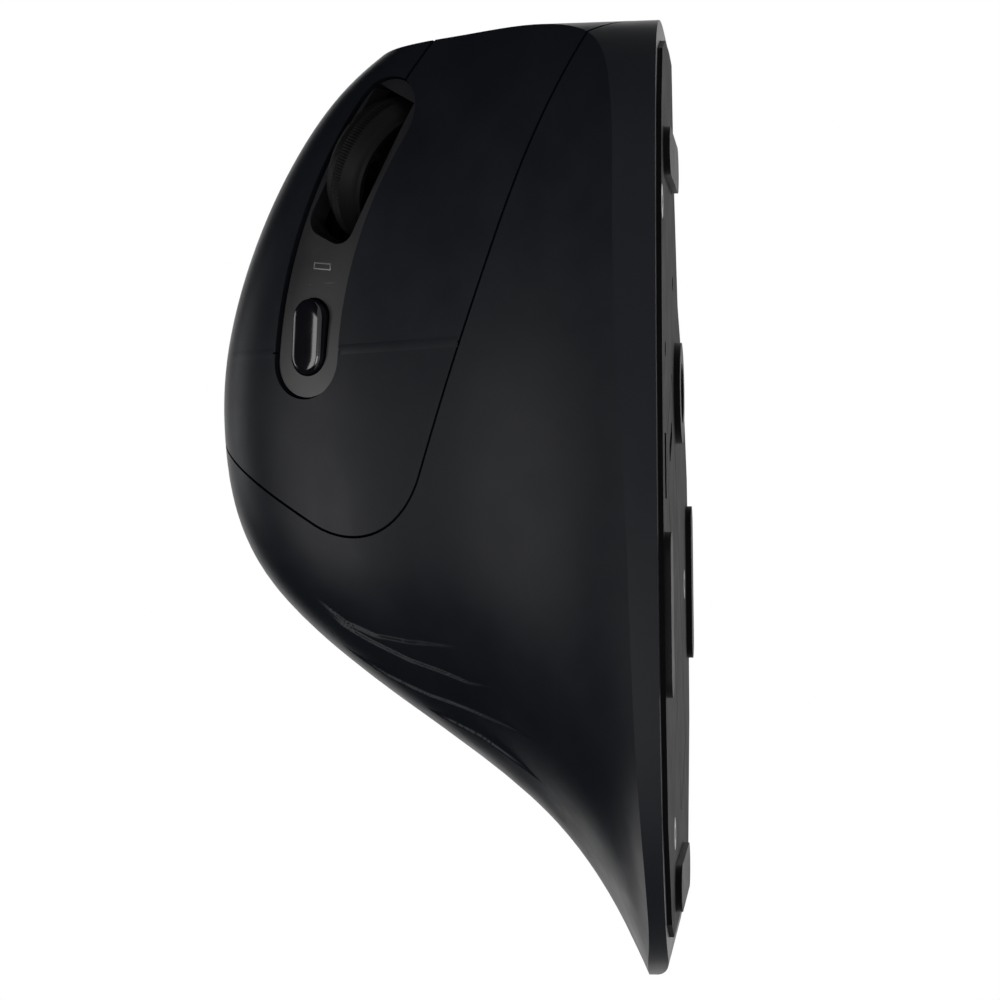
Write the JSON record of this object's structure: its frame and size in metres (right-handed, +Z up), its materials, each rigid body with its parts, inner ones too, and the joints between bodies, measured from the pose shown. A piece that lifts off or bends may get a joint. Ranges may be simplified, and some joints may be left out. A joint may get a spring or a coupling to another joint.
{
  "type": "vertical computer mouse",
  "caption": "Upright right-hand computer mouse with a sloping finger face, two long buttons, ribbed scroll wheel, glossy control strip, thumb buttons and a battery bay in its base.",
  "frame": {"origin": "middle of the footprint, on the desk", "axes": "+X to the finger side (the user's right), +Y to the front, away from the wrist, +Z up from the desk"},
  "size_m": [0.074, 0.1221, 0.0639],
  "materials": {
    "body": "fine matte",
    "strip": "semi-gloss",
    "piano": "gloss",
    "light": "clear diffuse",
    "tyre": "matte",
    "inner": "matte",
    "hub": "satin",
    "steel": "satin",
    "board": "satin",
    "switch": "satin",
    "chip": "satin",
    "lens": "clear",
    "base": "fine matte",
    "glide": "smooth",
    "cell": "satin"
  },
  "bodies": {
    "housing": {"main_shell": "body", "button_cover": "body", "control_strip": "strip", "light_window": "light", "inner_frame": "inner", "button_board": "board", "left_switch": "switch", "right_switch": "switch", "dpi_switch": "switch", "wheel_switch": "switch", "side_board": "board", "forward_switch": "switch", "back_switch": "switch", "base_plate": "base", "main_board": "board", "board_screws": "steel", "sensor": "chip", "sensor_lens": "lens", "sensor_ring": "glide", "power_switch": "chip", "battery": "cell", "battery_contact": "steel", "battery_spring": "steel", "base_screws": "steel", "front_foot": "glide", "rear_foot": "glide", "left_foot": "glide", "right_foot": "glide"},
    "left_click": {"left_button": "body"},
    "right_click": {"right_button": "body"},
    "cradle": {"wheel_cradle": "inner", "encoder": "chip"},
    "wheel": {"scroll_tyre": "tyre", "scroll_hub": "hub", "scroll_axle": "steel"},
    "dpi": {"dpi_button": "piano"},
    "forward": {"forward_button": "piano"},
    "back": {"back_button": "piano"},
    "knob": {"power_knob": "switch"},
    "door": {"battery_door": "base"}
  },
  "joints": [
    {"name": "left_click_hinge", "type": "hinge", "parent": "housing", "child": "left_click", "pos_m": [0.01172, 0.02, 0.03921], "axis": [-0.5476, 0, 0.8368], "range_deg": [0, 0.6], "stiffness_Nm_per_rad": 2},
    {"name": "right_click_hinge", "type": "hinge", "parent": "housing", "child": "right_click", "pos_m": [0.01172, 0.02, 0.03921], "axis": [-0.5476, 0, 0.8368], "range_deg": [0, 0.6], "stiffness_Nm_per_rad": 2},
    {"name": "wheel_click_slide", "type": "slide", "parent": "housing", "child": "cradle", "axis": [-0.8368, 0, -0.5476], "range_m": [0, 0.0005], "stiffness_N_per_m": 2000},
    {"name": "wheel_spin", "type": "hinge", "parent": "cradle", "child": "wheel", "pos_m": [0.00124, 0.04435, 0.03828], "axis": [-0.4915, 0.4406, 0.7512], "continuous": true},
    {"name": "dpi_press_slide", "type": "slide", "parent": "housing", "child": "dpi", "axis": [-0.8368, 0, -0.5476], "range_m": [0, 0.0004], "stiffness_N_per_m": 1500},
    {"name": "forward_press_slide", "type": "slide", "parent": "housing", "child": "forward", "axis": [1, 0, 0], "range_m": [0, 0.00045], "stiffness_N_per_m": 1500},
    {"name": "back_press_slide", "type": "slide", "parent": "housing", "child": "back", "axis": [1, 0, 0], "range_m": [0, 0.00045], "stiffness_N_per_m": 1500},
    {"name": "power_slide", "type": "slide", "parent": "housing", "child": "knob", "axis": [0, 1, 0], "range_m": [0, 0.003]},
    {"name": "door_hinge", "type": "hinge", "parent": "housing", "child": "door", "pos_m": [-0.01127, -0.03763, 0.0008], "axis": [-0.866, 0.5, 0], "range_deg": [0, 70]}
  ]
}
